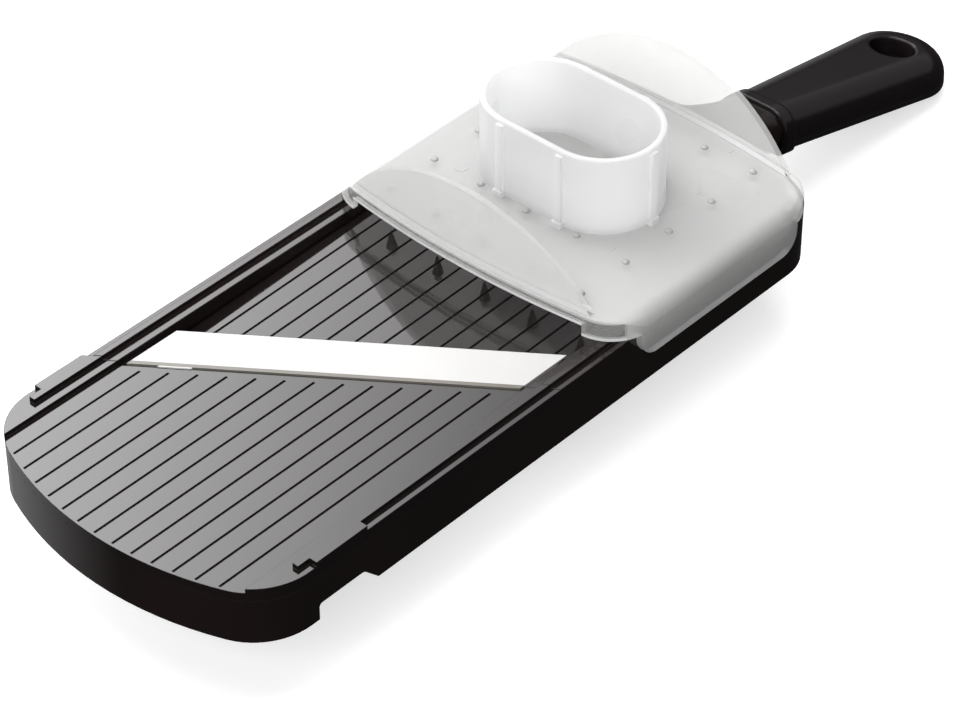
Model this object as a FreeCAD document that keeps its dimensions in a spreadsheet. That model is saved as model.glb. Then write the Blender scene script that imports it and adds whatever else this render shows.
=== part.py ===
import FreeCAD, Part
import math
import os
from types import SimpleNamespace

import Sketcher

# Hand-held mandoline slicer with a slanted ceramic blade, an infeed plate that
# a cam bar raises and lowers, a drooping handle and a sliding finger guard.
# Millimetres. +X is the right-hand side, +Y runs to the handle, +Z is up.
# The body pieces are drawn from the middle of the front edge, at deck level.

Vector = FreeCAD.Vector
Placement = FreeCAD.Placement
Rotation = FreeCAD.Rotation

SIZES = (
    ("front_edge", -157.30, "front edge from the middle of the whole length"),
    ("deck_height", 34.335, "deck surface above the lowest point of the handle"),
    ("body_half_width", 46.0, "half width over the side walls"),
    ("body_length", 215.6, "front edge to rear end of the body"),
    ("front_radius", 93.4, "plan radius of the bowed front edge"),
    ("front_corner", 17.5, "plan radius of the front corners"),
    ("rear_radius", 95.0, "plan radius of the bowed rear end"),
    ("rear_corner", 14.0, "plan radius of the rear corners"),
    ("wall", 2.2, "side and end wall thickness"),
    ("wall_depth", 15.1, "deck surface to bottom rim"),
    ("roof", 1.2, "underside of the rails below the deck surface"),
    ("strip_rise", 1.2, "flat of the rails above the deck surface"),
    ("ridge_rise", 2.45, "guide ridge above the deck surface"),
    ("channel_half", 39.3, "half width between the two rails"),
    ("skirt", 2.0, "thickness of the inner rail skirts"),
    ("ridge_inner", 42.1, "inner side of the guide ridge"),
    ("ridge_outer", 43.8, "outer side of the guide ridge"),
    ("ridge_end", 202.0, "rear end of the guide ridges"),
    ("land_front", 21.5, "front of the wide lands at the front of the ridges"),
    ("land_step", 25.2, "front of the outer half of the wide lands"),
    ("land_rear", 41.6, "rear of the wide lands"),
    ("slant", 0.735, "rise of the slanted edges per unit of width"),
    ("seam_middle", 74.0, "seam behind the front deck, on the middle line"),
    ("seam_gap", 0.2, "gap at the seam"),
    ("deck_thickness", 2.4, "front deck"),
    ("groove_pitch", 5.6, "between grooves"),
    ("groove_width", 0.6, "groove"),
    ("groove_depth", 0.5, "groove"),
    ("bridge_front", 64.0, "front of the blade bridge on the middle line"),
    ("bridge_rear", 82.0, "rear of the blade bridge on the middle line"),
    ("bridge_depth", 8.0, "underside of the bridge and skirts below the deck"),
    ("blade_near", 74.7, "near long edge of the blade on the middle line"),
    ("blade_run", 16.6, "blade along the body"),
    ("blade_half", 37.8, "half length of the blade across the body"),
    ("blade_thickness", 1.2, "blade"),
    ("blade_rise", 0.3, "top of the blade above the deck"),
    ("bevel_run", 4.0, "ground bevel, along the blade"),
    ("bevel_drop", 1.05, "ground bevel, through the thickness"),
    ("plate_half", 38.8, "half width of the infeed plate"),
    ("plate_thickness", 2.4, "infeed plate"),
    ("plate_front", 93.2, "front edge of the infeed plate on the middle line"),
    ("plate_tail", 2.6, "infeed plate behind its hinge"),
    ("plate_over_hinge", 4.0, "top of the infeed plate above its hinge axis"),
    ("hinge_y", 197.0, "hinge axis from the front edge"),
    ("hinge_drop", 4.4, "hinge axis below the deck"),
    ("hinge_tilt", 1.26, "slope of the infeed plate at the thickest setting, degrees"),
    ("knuckle_radius", 2.8, "hinge knuckle"),
    ("knuckle_width", 16.0, "hinge knuckle"),
    ("knuckle_pitch", 28.0, "between hinge knuckles"),
    ("hinge_pin_radius", 1.5, "hinge rod"),
    ("hinge_pin_half", 41.0, "half length of the hinge rod"),
    ("window_rear", 200.6, "rear of the opening for the infeed plate"),
    ("cam_y", 131.0, "cam bar from the front edge"),
    ("cam_drop", 9.45, "cam bar axis below the deck"),
    ("cam_low", 5.0, "cam radius at the thickest setting"),
    ("cam_high", 6.58, "cam radius at the thinnest setting"),
    ("cam_width", 6.0, "cam lobe"),
    ("cam_x", 30.0, "cam lobes either side of the middle"),
    ("journal", 2.5, "cam bar radius"),
    ("bar_half", 43.0, "half length of the cam bar"),
    ("running_gap", 0.05, "radial gap of the turning fits"),
    ("block_half", 6.0, "half length of the cam bearing blocks"),
    ("block_depth", 14.0, "underside of the bearing blocks below the deck"),
    ("dial_radius", 4.9, "thickness dial"),
    ("dial_width", 20.0, "thickness dial"),
    ("flute_radius", 0.7, "finger flute of the dial"),
    ("dial_pin_radius", 0.75, "cross pin of the dial"),
    ("notch_front", 25.6, "front of the bowl rim notches"),
    ("notch_rear", 40.2, "rear of the flat of the notches"),
    ("notch_depth", 10.5, "flat of the notches below the deck"),
    ("screw_radius", 1.25, "small screws"),
    ("screw_head", 2.5, "small screw head radius"),
    ("screw_head_height", 1.3, "small screw head"),
    ("deck_boss", 2.5, "screw boss radius under the deck"),
    ("deck_boss_length", 3.6, "screw boss under the deck"),
    ("boss_x", 30.0, "front screw bosses either side of the middle"),
    ("boss_y", 13.0, "front screw bosses from the front edge"),
    ("bridge_screw_x", 20.0, "bridge screws either side of the middle"),
    ("handle_y", 242.2, "front of the handle from the front edge"),
    ("handle_drop", 13.9, "handle axis below the deck, at its front"),
    ("handle_droop", 12.3, "handle axis below level, degrees"),
    ("handle_neck", 11.0, "half width at the front of the handle"),
    ("handle_end", 14.5, "radius of the round end of the handle"),
    ("handle_reach", 60.0, "front of the handle to the middle of its round end"),
    ("handle_top", 5.7, "top of the handle above its axis"),
    ("handle_bottom", 5.1, "underside of the handle below its axis"),
    ("handle_split", 2.5, "parting line below the axis"),
    ("handle_taper", 9.0, "slope of the sides of the upper half, degrees"),
    ("handle_round", 7.3, "edge radius on top of the handle"),
    ("handle_under_round", 2.2, "edge radius under the handle"),
    ("hang_y", 57.5, "hanging hole from the front of the handle"),
    ("hang_radius", 6.4, "hanging hole"),
    ("hang_round", 0.4, "edge radius of the hanging hole"),
    ("tang_half", 6.0, "half width of the tang"),
    ("tang_thickness", 5.0, "tang"),
    ("tang_length", 36.0, "tang inside the handle"),
    ("tang_gap", 0.1, "gap round the tang"),
    ("collar_length", 4.5, "collar between neck and handle"),
    ("collar_proud", 0.4, "collar beyond the handle"),
    ("handle_screw_front", 12.0, "front handle screw along the handle"),
    ("handle_screw_rear", 28.0, "rear handle screw along the handle"),
    ("guard_y", 164.4, "middle of the guard from the front edge"),
    ("guard_half", 48.4, "half width of the guard"),
    ("guard_reach", 42.2, "middle of the guard to its front and rear edges"),
    ("guard_bow", 280.0, "plan radius of the front and rear edges"),
    ("guard_corner", 12.0, "plan radius of the guard corners"),
    ("guard_top", 8.3, "top of the guard plate above the deck"),
    ("guard_plate", 1.8, "guard plate"),
    ("guard_wall", 1.6, "guard rim, skirts and fins"),
    ("guard_edge", 1.2, "rounded top edge of the guard, and ledge in front of the fins"),
    ("guard_roll", 4.0, "rounded long sides of the guard"),
    ("mark_radius", 1.9, "mould marks on the guard plate"),
    ("mark_rise", 0.12, "mould marks above the guard plate"),
    ("skirt_drop", 5.0, "bottom of the guard skirts below the deck"),
    ("skirt_half", 30.0, "half length of the guard skirts"),
    ("tab_rise", 2.75, "bottom of the corner feet above the deck"),
    ("band_half", 37.5, "half width between the corner feet"),
    ("band_rise", 5.8, "bottom of the front and rear rim above the deck"),
    ("arch_radius", 48.0, "arched top of the fins"),
    ("arch_centre", -19.7, "centre of the arch from the deck"),
    ("cup_radius", 15.93, "outside of the round ends of the cup"),
    ("cup_straight", 9.6, "half length of the straight sides of the cup"),
    ("cup_wall", 1.8, "cup wall"),
    ("cup_height", 22.1, "cup above the guard plate"),
    ("cup_lip", 0.6, "edge radius of the cup rim"),
    ("cup_rib", 0.9, "ribs proud of the cup"),
    ("cup_rib_half", 1.0, "half width of the ribs"),
    ("tongue_half", 1.6, "half width of the snap tongues under the cup"),
    ("tongue_thickness", 1.2, "snap tongues"),
    ("pin_pitch_x", 15.7, "holding pins across"),
    ("pin_pitch_y", 16.4, "holding pins along"),
    ("pin_shank", 0.8, "holding pin shank radius"),
    ("pin_head", 1.0, "holding pin head radius"),
    ("pin_base", 1.5, "holding pin cone radius"),
    ("pin_tip", 1.3, "tip of the holding pins above the deck"),
)

GROOVES = range(-6, 7)
BRIDGE_SCREW_SIDES = (-1, 1)
# Mould marks right of the middle of the guard, each with one on the left.
MOULD_MARKS = ((20.2, 36.0), (25.1, 17.1), (24.2, -14.3))


class Size:
    """A length together with the sheet expression that gives it."""

    def __init__(self, value, text):
        self.value = value
        self.text = text

    def __add__(self, other):
        other = size(other)
        return Size(self.value + other.value, "(%s + %s)" % (self.text, other.text))

    def __sub__(self, other):
        other = size(other)
        return Size(self.value - other.value, "(%s - %s)" % (self.text, other.text))

    def __mul__(self, other):
        other = size(other)
        return Size(self.value * other.value, "(%s * %s)" % (self.text, other.text))

    def __truediv__(self, other):
        other = size(other)
        return Size(self.value / other.value, "(%s / %s)" % (self.text, other.text))

    def __neg__(self):
        return Size(-self.value, "(-%s)" % self.text)

    def __radd__(self, other):
        return size(other) + self

    def __rsub__(self, other):
        return size(other) - self

    def __rmul__(self, other):
        return size(other) * self


def size(number):
    """A Size, also from a plain number."""
    if isinstance(number, Size):
        return number
    return Size(float(number), "(%r)" % float(number))


def root(number):
    return Size(math.sqrt(number.value), "sqrt(%s)" % number.text)


doc = FreeCAD.newDocument("mandoline_slicer")
sheet = doc.addObject("Spreadsheet::Sheet", "Sizes")
for row, (alias, value, note) in enumerate(SIZES, start=1):
    sheet.set("A%d" % row, note)
    sheet.set("B%d" % row, str(value))
    sheet.setAlias("B%d" % row, alias)
doc.recompute()
D = SimpleNamespace(**{alias: Size(float(sheet.get(alias)), "Sizes." + alias) for alias, _, _ in SIZES})


def sketch(body, name, plane, lift=0, rise=0, tilt=0):
    """Sketch on an origin plane of its body, lifted along the normal and tilted about its own X."""
    item = body.newObject("Sketcher::SketchObject", name)
    support = [feature for feature in body.Origin.OriginFeatures if feature.Role == plane]
    item.AttachmentSupport = [(support[0], "")]
    item.MapMode = "FlatFace"
    lift, rise, tilt = size(lift), size(rise), size(tilt)
    turn = Rotation(Vector(1, 0, 0), tilt.value)
    item.AttachmentOffset = Placement(Vector(0, rise.value, lift.value), turn)
    item.setExpression("AttachmentOffset.Base.y", rise.text)
    item.setExpression("AttachmentOffset.Base.z", lift.text)
    item.Visibility = False
    return item


def bind(item, constraint, value):
    """Add a constraint whose value follows the sheet."""
    number = item.addConstraint(constraint)
    item.setExpression("Constraints[%d]" % number, value.text)


def fix(item, geometry, position, x, y):
    """Hold a sketch point at x, y from the sketch origin."""
    for kind, axis, value in (("DistanceX", -2, size(x)), ("DistanceY", -1, size(y))):
        if abs(value.value) < 1e-9:
            item.addConstraint(Sketcher.Constraint("PointOnObject", geometry, position, axis))
        else:
            bind(item, Sketcher.Constraint(kind, -1, 1, geometry, position, value.value), value)


def end_at(item, geometry, point):
    """Which end of a sketch edge lies at the point."""
    return 1 if item.getPoint(geometry, 1).distanceToPoint(point) < 1e-6 else 2


def bowed(start, stop, radius):
    """Arc that bulges to the right of its direction, or to the left for a negative radius."""
    chord = stop - start
    right = Vector(chord.y, -chord.x, 0).normalize()
    sagitta = abs(radius) - math.sqrt(radius * radius - chord.Length ** 2 / 4)
    middle = (start + stop) / 2 + right * math.copysign(sagitta, radius)
    return Part.Arc(start, middle, stop)


def rounding(before, corner, after, radius):
    """Tangent arc in a corner between two straight edges, with its two ends."""
    back = (before - corner).normalize()
    ahead = (after - corner).normalize()
    half = back.getAngle(ahead) / 2
    start = corner + back * (radius / math.tan(half))
    stop = corner + ahead * (radius / math.tan(half))
    bisector = (back + ahead).normalize()
    middle = corner + bisector * (radius / math.sin(half) - radius)
    return start, Part.Arc(start, middle, stop), stop


def outline(item, corners):
    """Closed anticlockwise outline. ("bow", r) bends the edge leaving a corner, ("round", r) rounds it."""
    count = len(corners)
    points = [Vector(size(c[0]).value, size(c[1]).value, 0) for c in corners]
    marks = [tuple(c[2:]) or (None, None) for c in corners]
    arrive, leave, arcs = list(points), list(points), {}
    for i, (mark, radius) in enumerate(marks):
        if mark == "round":
            corner = rounding(points[i - 1], points[i], points[(i + 1) % count], size(radius).value)
            arrive[i], arc, leave[i] = corner
            arcs[i] = item.addGeometry(arc, False)
    edges = []
    for i, (mark, radius) in enumerate(marks):
        start, stop = leave[i], arrive[(i + 1) % count]
        if mark == "bow":
            edges.append(item.addGeometry(bowed(start, stop, size(radius).value), False))
            radius = size(radius)
            positive = radius if radius.value > 0 else -radius
            bind(item, Sketcher.Constraint("Radius", edges[-1], positive.value), positive)
        else:
            edges.append(item.addGeometry(Part.LineSegment(start, stop), False))
    for i, (mark, radius) in enumerate(marks):
        before, after = edges[i - 1], edges[i]
        if mark == "round":
            join_round(item, before, arcs[i], after, arrive[i], leave[i], size(radius))
            point = item.addGeometry(Part.Point(points[i]), True)
            item.addConstraint(Sketcher.Constraint("PointOnObject", point, 1, before))
            item.addConstraint(Sketcher.Constraint("PointOnObject", point, 1, after))
            fix(item, point, 1, *corners[i][:2])
        else:
            ends = end_at(item, before, points[i]), end_at(item, after, points[i])
            item.addConstraint(Sketcher.Constraint("Coincident", before, ends[0], after, ends[1]))
            fix(item, after, ends[1], *corners[i][:2])


def join_round(item, before, arc, after, start, stop, radius):
    """Make a corner arc tangent to the edges before and after it."""
    for edge, point in ((before, start), (after, stop)):
        ends = end_at(item, edge, point), end_at(item, arc, point)
        item.addConstraint(Sketcher.Constraint("Tangent", edge, ends[0], arc, ends[1]))
    bind(item, Sketcher.Constraint("Radius", arc, radius.value), radius)


def circle(item, x, y, radius):
    centre = Vector(size(x).value, size(y).value, 0)
    number = item.addGeometry(Part.Circle(centre, Vector(0, 0, 1), size(radius).value), False)
    bind(item, Sketcher.Constraint("Radius", number, size(radius).value), size(radius))
    fix(item, number, 3, x, y)


def box(x0, x1, y0, y1):
    """Corners of an upright rectangle."""
    return [(x0, y0), (x1, y0), (x1, y1), (x0, y1)]


def new_body(label):
    body = doc.addObject("PartDesign::Body", label)
    body.Label = label
    return body


def extrude(kind, body, profile, length, reverse, both):
    feature = body.newObject("PartDesign::" + kind, profile.Name + "_" + kind.lower())
    feature.Profile = profile
    length = size(length)
    feature.Length = length.value
    feature.setExpression("Length", length.text)
    feature.Reversed = reverse
    if both:
        feature.SideType = "Symmetric"
    doc.recompute()
    if feature.Shape.isNull() or not feature.isValid():
        raise ValueError(profile.Name)
    return feature


def pad(body, profile, length, reverse=False, both=False):
    return extrude("Pad", body, profile, length, reverse, both)


def pocket(body, profile, length, reverse=False, both=False):
    """Cut against the sketch normal, or along it when reversed."""
    volume = body.Shape.Volume
    feature = extrude("Pocket", body, profile, length, reverse, both)
    if body.Shape.Volume > volume - 1e-3:
        raise ValueError(profile.Name + " cuts nothing")
    return feature


def soften(body, name, kind, amount, chosen):
    """Fillet or chamfer the edges whose middle point is chosen."""
    base = body.Tip
    names = []
    for number, edge in enumerate(base.Shape.Edges, start=1):
        if chosen(edge.valueAt((edge.FirstParameter + edge.LastParameter) / 2)):
            names.append("Edge%d" % number)
    feature = body.newObject("PartDesign::" + kind, name)
    feature.Base = (base, names)
    prop = "Radius" if kind == "Fillet" else "Size"
    setattr(feature, prop, size(amount).value)
    feature.setExpression(prop, size(amount).text)
    doc.recompute()
    if not feature.isValid():
        raise ValueError(name)
    return feature


def near(number, target, tolerance=0.05):
    return abs(number - size(target).value) < tolerance


def turned(points):
    """Solid of revolution about Z from radius and height pairs."""
    corners = [Vector(r, 0, z) for r, z in points]
    face = Part.Face(Part.makePolygon(corners + corners[:1]))
    return face.revolve(Vector(), Vector(0, 0, 1), 360)


def group(label, solid, places):
    """Several copies of one solid in one node."""
    copies = []
    for place in places:
        copy = solid.copy()
        copy.Placement = place
        copies.append(copy)
    node = doc.addObject("Part::Feature", label)
    node.Label = label
    node.Shape = Part.makeCompound(copies)
    return node


def put(node, y=0, z=0, tilt=0):
    """Place a piece by its local origin, measured from the front edge at deck level."""
    y = D.front_edge + y
    z = D.deck_height + z
    node.Placement = Placement(Vector(0, y.value, z.value), Rotation(Vector(1, 0, 0), size(tilt).value))
    node.setExpression("Placement.Base.y", y.text)
    node.setExpression("Placement.Base.z", z.text)
    return node


def slanted(middle, x):
    """Point on a slanted edge that crosses the middle line at the given distance."""
    return x, middle + D.slant * x


def bowed_end(half, apex, radius, corner, inset, facing):
    """Bowed front (facing -1) or rear (+1) end with rounded corners, moved in by inset."""
    run = half - corner
    reach = radius - corner
    drop = root(reach * reach - run * run)
    centre = apex - facing * radius
    side_x = facing * (half - inset)
    side_y = centre + facing * drop
    end_x = facing * run * (radius - inset) / reach
    end_y = centre + facing * drop * (radius - inset) / reach
    return [
        (side_x, side_y, "bow", corner - inset),
        (end_x, end_y, "bow", radius - inset),
        (-end_x, end_y, "bow", corner - inset),
        (-side_x, side_y),
    ]


def nose(inset):
    return bowed_end(D.body_half_width, size(0), D.front_radius, D.front_corner, size(inset), -1)


def tail(inset):
    return bowed_end(D.body_half_width, D.body_length, D.rear_radius, D.rear_corner, size(inset), 1)


def bridge_screws():
    """Middles of the deck screws along the bridge."""
    middle = (D.bridge_front + D.seam_middle) / 2
    return [slanted(middle, side * D.bridge_screw_x) for side in BRIDGE_SCREW_SIDES]


def deck_screw_points():
    return [(-D.boss_x, D.boss_y), (D.boss_x, D.boss_y)] + bridge_screws()


def add_rails(body):
    """Ridges of the rear rails, from the seam to the rear deck."""
    item = sketch(body, "rear_ridges", "XY_Plane", D.strip_rise)
    start = D.seam_middle + D.seam_gap
    for inner, outer in ((-D.ridge_outer, -D.ridge_inner), (D.ridge_inner, D.ridge_outer)):
        corners = [slanted(start, inner), slanted(start, outer), (outer, D.ridge_end), (inner, D.ridge_end)]
        outline(item, corners)
    pad(body, item, D.ridge_rise - D.strip_rise)


def cut_seats(body):
    """Seat of the front deck and, behind it, the seat of the blade."""
    far = D.body_half_width + 10
    deck = sketch(body, "deck_seat", "XY_Plane", D.strip_rise)
    start = D.seam_middle + D.seam_gap
    outline(deck, [(-far, -10), (far, -10), slanted(start, far), slanted(start, -far)])
    pocket(body, deck, D.strip_rise + D.deck_thickness)
    blade = sketch(body, "blade_seat", "XY_Plane", D.strip_rise)
    half = D.channel_half
    front, rear = D.seam_middle - 1, D.bridge_rear + 1
    outline(blade, [slanted(front, -half), slanted(front, half), slanted(rear, half), slanted(rear, -half)])
    pocket(body, blade, D.strip_rise + D.blade_thickness - D.blade_rise)


def cut_hollows(body):
    """Open underside: low hollow, front hollow, infeed window, rail channels and rear hollow."""
    low = sketch(body, "low_hollow", "XY_Plane", -D.wall_depth)
    outline(low, nose(D.wall) + tail(D.wall))
    pocket(body, low, D.wall_depth - D.bridge_depth, reverse=True)
    side = D.body_half_width - D.wall
    front = sketch(body, "front_hollow", "XY_Plane", -D.bridge_depth)
    outline(front, nose(D.wall) + [slanted(D.bridge_front, side), slanted(D.bridge_front, -side)])
    pocket(body, front, D.bridge_depth, reverse=True)
    half = D.channel_half
    window = sketch(body, "window", "XY_Plane", -D.bridge_depth)
    corners = [slanted(D.bridge_rear, half), (half, D.window_rear), (-half, D.window_rear)]
    outline(window, corners + [slanted(D.bridge_rear, -half)])
    pocket(body, window, D.bridge_depth + 5, reverse=True)
    channels = sketch(body, "rail_channels", "XY_Plane", -D.bridge_depth)
    start, stop = D.bridge_rear + 2, D.hinge_y - 9
    for inner, outer in ((-side, -half - D.skirt), (half + D.skirt, side)):
        outline(channels, [slanted(start, inner), slanted(start, outer), (outer, stop), (inner, stop)])
    pocket(body, channels, D.bridge_depth - D.roof, reverse=True)
    rear = sketch(body, "rear_hollow", "XY_Plane", -D.bridge_depth)
    outline(rear, box(-26, 26, D.window_rear + 2.4, D.window_rear + 6.4))
    pocket(body, rear, D.bridge_depth - D.roof, reverse=True)


def add_bearings(body):
    """Snap-in bearings, open below, for the cam bar and for the hinge rod."""
    blocks = sketch(body, "bearing_blocks", "XY_Plane", -D.block_depth)
    outer = D.body_half_width - D.wall / 2
    for x0, x1 in ((-outer, -D.channel_half), (D.channel_half, outer)):
        outline(blocks, box(x0, x1, D.cam_y - D.block_half, D.cam_y + D.block_half))
    pad(body, blocks, D.block_depth - D.roof / 2)
    axes = (
        ("cam", D.cam_y, -D.cam_drop, D.journal, D.bar_half + 0.2),
        ("hinge", D.hinge_y, -D.hinge_drop, D.hinge_pin_radius, D.hinge_pin_half + 0.3),
    )
    for name, y, z, radius, reach in axes:
        bore = sketch(body, name + "_bore", "YZ_Plane")
        circle(bore, y, z, radius + D.running_gap)
        pocket(body, bore, 2 * reach, both=True)
        slot = sketch(body, name + "_slot", "YZ_Plane")
        outline(slot, box(y - radius * 0.86, y + radius * 0.86, -D.wall_depth - 1, z))
        pocket(body, slot, 2 * reach, both=True)


def cut_notches(body):
    """Notches in both side walls that drop over the rim of a bowl."""
    item = sketch(body, "rim_notch", "YZ_Plane")
    ramp = D.wall_depth + 3 - D.notch_depth
    corners = [
        (D.notch_front, -D.wall_depth - 3),
        (D.notch_rear + ramp, -D.wall_depth - 3),
        (D.notch_rear, -D.notch_depth, "round", 2),
        (D.notch_front, -D.notch_depth, "round", 1),
    ]
    outline(item, corners)
    pocket(body, item, 2 * D.body_half_width + 2, both=True)


def add_deck_lugs(body):
    """Front lugs and the holes that take the bosses and screws of the front deck."""
    lugs = sketch(body, "front_lugs", "XY_Plane", -D.bridge_depth)
    for side in (-1, 1):
        middle = side * D.boss_x
        outline(lugs, box(middle - 4, middle + 4, D.boss_y - 5.8, D.boss_y + 4))
    pad(body, lugs, D.bridge_depth - D.deck_thickness)
    sinks = sketch(body, "boss_sinks", "XY_Plane", -D.deck_thickness)
    holes = sketch(body, "screw_holes", "XY_Plane", -D.deck_thickness)
    for x, y in deck_screw_points():
        circle(sinks, x, y, D.deck_boss + 0.15)
        circle(holes, x, y, D.screw_radius + 0.15)
    pocket(body, sinks, D.deck_boss_length + 0.1)
    pocket(body, holes, D.bridge_depth)


def soft_section(item, half, low, high, under, over):
    """Upright section with one radius on its lower corners and another on its upper ones."""
    lower, upper = ("round", under), ("round", over)
    outline(item, [(-half, low) + lower, (half, low) + lower, (half, high) + upper, (-half, high) + upper])


def add_neck(body):
    """Neck that droops from the rear wall to the collar, and the tang inside the handle."""
    droop = math.radians(D.handle_droop.value)
    back = D.collar_length
    end_y = D.handle_y - back * math.cos(droop)
    end_z = -D.handle_drop + back * math.sin(droop)
    stations = (
        ("neck_root", D.body_length - end_y - 5, 22, -6.6, 5.0, 3.0, 4.5),
        ("neck_shoulder", D.body_length - end_y + 4, 14.6, -5.4, 5.4, 3.0, 5.0),
        ("neck_middle", D.body_length - end_y + 13, 11.3, -4.8, 5.3, 3.0, 5.8),
        ("neck_end", size(0), 10.3, -4.6, 5.2, 3.0, 6.2),
    )
    sections = []
    for name, along, half, low, high, under, over in stations:
        rise = end_z - along * math.tan(droop)
        sections.append(sketch(body, name, "XZ_Plane", -end_y - along, rise, -D.handle_droop))
        soft_section(sections[-1], half, low, high, under, over)
    loft = body.newObject("PartDesign::AdditiveLoft", "neck")
    loft.Profile = sections[0]
    loft.Sections = sections[1:]
    doc.recompute()
    tang = sketch(body, "tang", "XZ_Plane", -end_y, end_z, -D.handle_droop)
    outline(tang, box(-D.tang_half, D.tang_half, -D.tang_thickness / 2, D.tang_thickness / 2))
    pad(body, tang, D.tang_length + back, reverse=True)
    holes = sketch(body, "tang_holes", "XY_Plane")
    for along in (D.handle_screw_front, D.handle_screw_rear):
        circle(holes, 0, D.handle_y + along * math.cos(droop), D.screw_radius + 0.65)
    pocket(body, holes, 2 * D.wall_depth + 20)


def make_chassis():
    body = new_body("chassis")
    plan = sketch(body, "body_plan", "XY_Plane", -D.wall_depth)
    outline(plan, nose(0) + tail(0))
    pad(body, plan, D.wall_depth + D.strip_rise)
    add_rails(body)
    cut_seats(body)
    cut_hollows(body)
    add_bearings(body)
    cut_notches(body)
    add_deck_lugs(body)
    add_neck(body)
    return put(body)


def ridge_corners(side):
    """Ridge of the front deck with the wider land at its front."""
    wide, narrow, inner = D.body_half_width, D.ridge_outer, D.ridge_inner
    if side > 0:
        return [
            (inner, D.land_front),
            (narrow, D.land_front),
            (narrow, D.land_step),
            (wide, D.land_step),
            (wide, D.land_rear),
            (narrow, D.land_rear),
            slanted(D.seam_middle, narrow),
            slanted(D.seam_middle, inner),
        ]
    return [
        (-narrow, D.land_front),
        (-inner, D.land_front),
        slanted(D.seam_middle, -inner),
        slanted(D.seam_middle, -wide),
        (-wide, D.land_step),
        (-narrow, D.land_step),
    ]


def cut_grooves(body, level, ends):
    """Parallel grooves that keep food from sticking to a plate."""
    item = sketch(body, "grooves", "XY_Plane", level)
    half = D.groove_width / 2
    for number in GROOVES:
        x = number * D.groove_pitch
        start, stop = ends(x)
        outline(item, box(x - half, x + half, start, stop))
    pocket(body, item, D.groove_depth)


def make_front_deck():
    body = new_body("front_deck")
    half = D.body_half_width
    plan = sketch(body, "deck_plan", "XY_Plane", -D.deck_thickness)
    outline(plan, nose(0) + [slanted(D.seam_middle, half), slanted(D.seam_middle, -half)])
    pad(body, plan, D.deck_thickness + D.strip_rise)
    floor = sketch(body, "deck_floor", "XY_Plane", D.strip_rise)
    outline(floor, box(-D.channel_half, D.channel_half, -5, D.body_length))
    pocket(body, floor, D.strip_rise)
    ridges = sketch(body, "front_ridges", "XY_Plane", D.strip_rise)
    for side in (-1, 1):
        outline(ridges, ridge_corners(side))
    pad(body, ridges, D.ridge_rise - D.strip_rise)

    def ends(x):
        radius = D.front_radius
        return radius + 0.8 - root(radius * radius - x * x), slanted(D.seam_middle - 2.1, x)[1]

    cut_grooves(body, 0, ends)
    bosses = sketch(body, "deck_bosses", "XY_Plane", -D.deck_thickness)
    pilots = sketch(body, "boss_pilots", "XY_Plane", -D.deck_thickness - D.deck_boss_length)
    for x, y in deck_screw_points():
        circle(bosses, x, y, D.deck_boss)
        circle(pilots, x, y, D.screw_radius)
    pad(body, bosses, D.deck_boss_length, reverse=True)
    pocket(body, pilots, D.deck_boss_length + 0.8, reverse=True)
    return put(body)


def make_blade():
    """Slanted ceramic blade, ground from below along its far edge."""
    body = new_body("blade")
    half, far = D.blade_half, D.blade_near + D.blade_run
    plan = sketch(body, "blade_plan", "XY_Plane")
    proud = D.blade_near - 0.55
    corners = [
        slanted(D.blade_near, -half),
        slanted(D.blade_near, size(-31.5)),
        slanted(proud, size(-31.5)),
        slanted(proud, size(-25)),
        slanted(D.blade_near, size(-25)),
        slanted(D.blade_near, half),
        slanted(far, half),
        slanted(far, -half),
    ]
    outline(plan, corners)
    pad(body, plan, D.blade_thickness)
    base = body.Tip
    names = []
    for number, edge in enumerate(base.Shape.Edges, start=1):
        middle = edge.CenterOfMass
        if near(middle.z, 0) and near(middle.x, 0) and near(middle.y, far):
            names.append("Edge%d" % number)
    bevel = body.newObject("PartDesign::Chamfer", "ground_bevel")
    bevel.Base = (base, names)
    bevel.ChamferType = "Two distances"
    bevel.Size, bevel.Size2 = D.bevel_drop.value, D.bevel_run.value
    bevel.setExpression("Size", D.bevel_drop.text)
    bevel.setExpression("Size2", D.bevel_run.text)
    return put(body, 0, D.blade_rise - D.blade_thickness)


def make_infeed_plate():
    """Plate behind the blade, drawn level about its hinge axis."""
    body = new_body("infeed_plate")
    half, top = D.plate_half, D.plate_over_hinge
    under = top - D.plate_thickness
    front = D.plate_front - D.hinge_y
    plan = sketch(body, "plate_plan", "XY_Plane", under)
    corners = [slanted(front, half), (half, D.plate_tail), (-half, D.plate_tail), slanted(front, -half)]
    outline(plan, corners)
    pad(body, plan, D.plate_thickness)
    cut_grooves(body, top, lambda x: (slanted(front + 2, x)[1], size(-4)))
    ribs = sketch(body, "plate_ribs", "XY_Plane", under)
    for x in (-18, 18):
        outline(ribs, box(x - 0.8, x + 0.8, slanted(front + 6, x)[1], -4))
    pad(body, ribs, 1.6, reverse=True)
    knuckle = sketch(body, "knuckle", "YZ_Plane", -D.knuckle_pitch - D.knuckle_width / 2)
    radius = D.knuckle_radius
    corners = [(radius, 0), (radius, under), (-radius, under)]
    outline(knuckle, corners + [(-radius, 0, "bow", radius), (0, -radius, "bow", radius)])
    first = pad(body, knuckle, D.knuckle_width)
    row = body.newObject("PartDesign::LinearPattern", "knuckles")
    row.Originals = [first]
    row.Direction = ([axis for axis in body.Origin.OriginFeatures if axis.Role == "X_Axis"][0], [""])
    row.Length = 2 * D.knuckle_pitch.value
    row.setExpression("Length", (2 * D.knuckle_pitch).text)
    row.Occurrences = 3
    body.Tip = row
    doc.recompute()
    bore = sketch(body, "pin_bore", "YZ_Plane")
    circle(bore, 0, 0, D.hinge_pin_radius)
    pocket(body, bore, 2 * half, both=True)
    return put(body, D.hinge_y, -D.hinge_drop, D.hinge_tilt)


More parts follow.
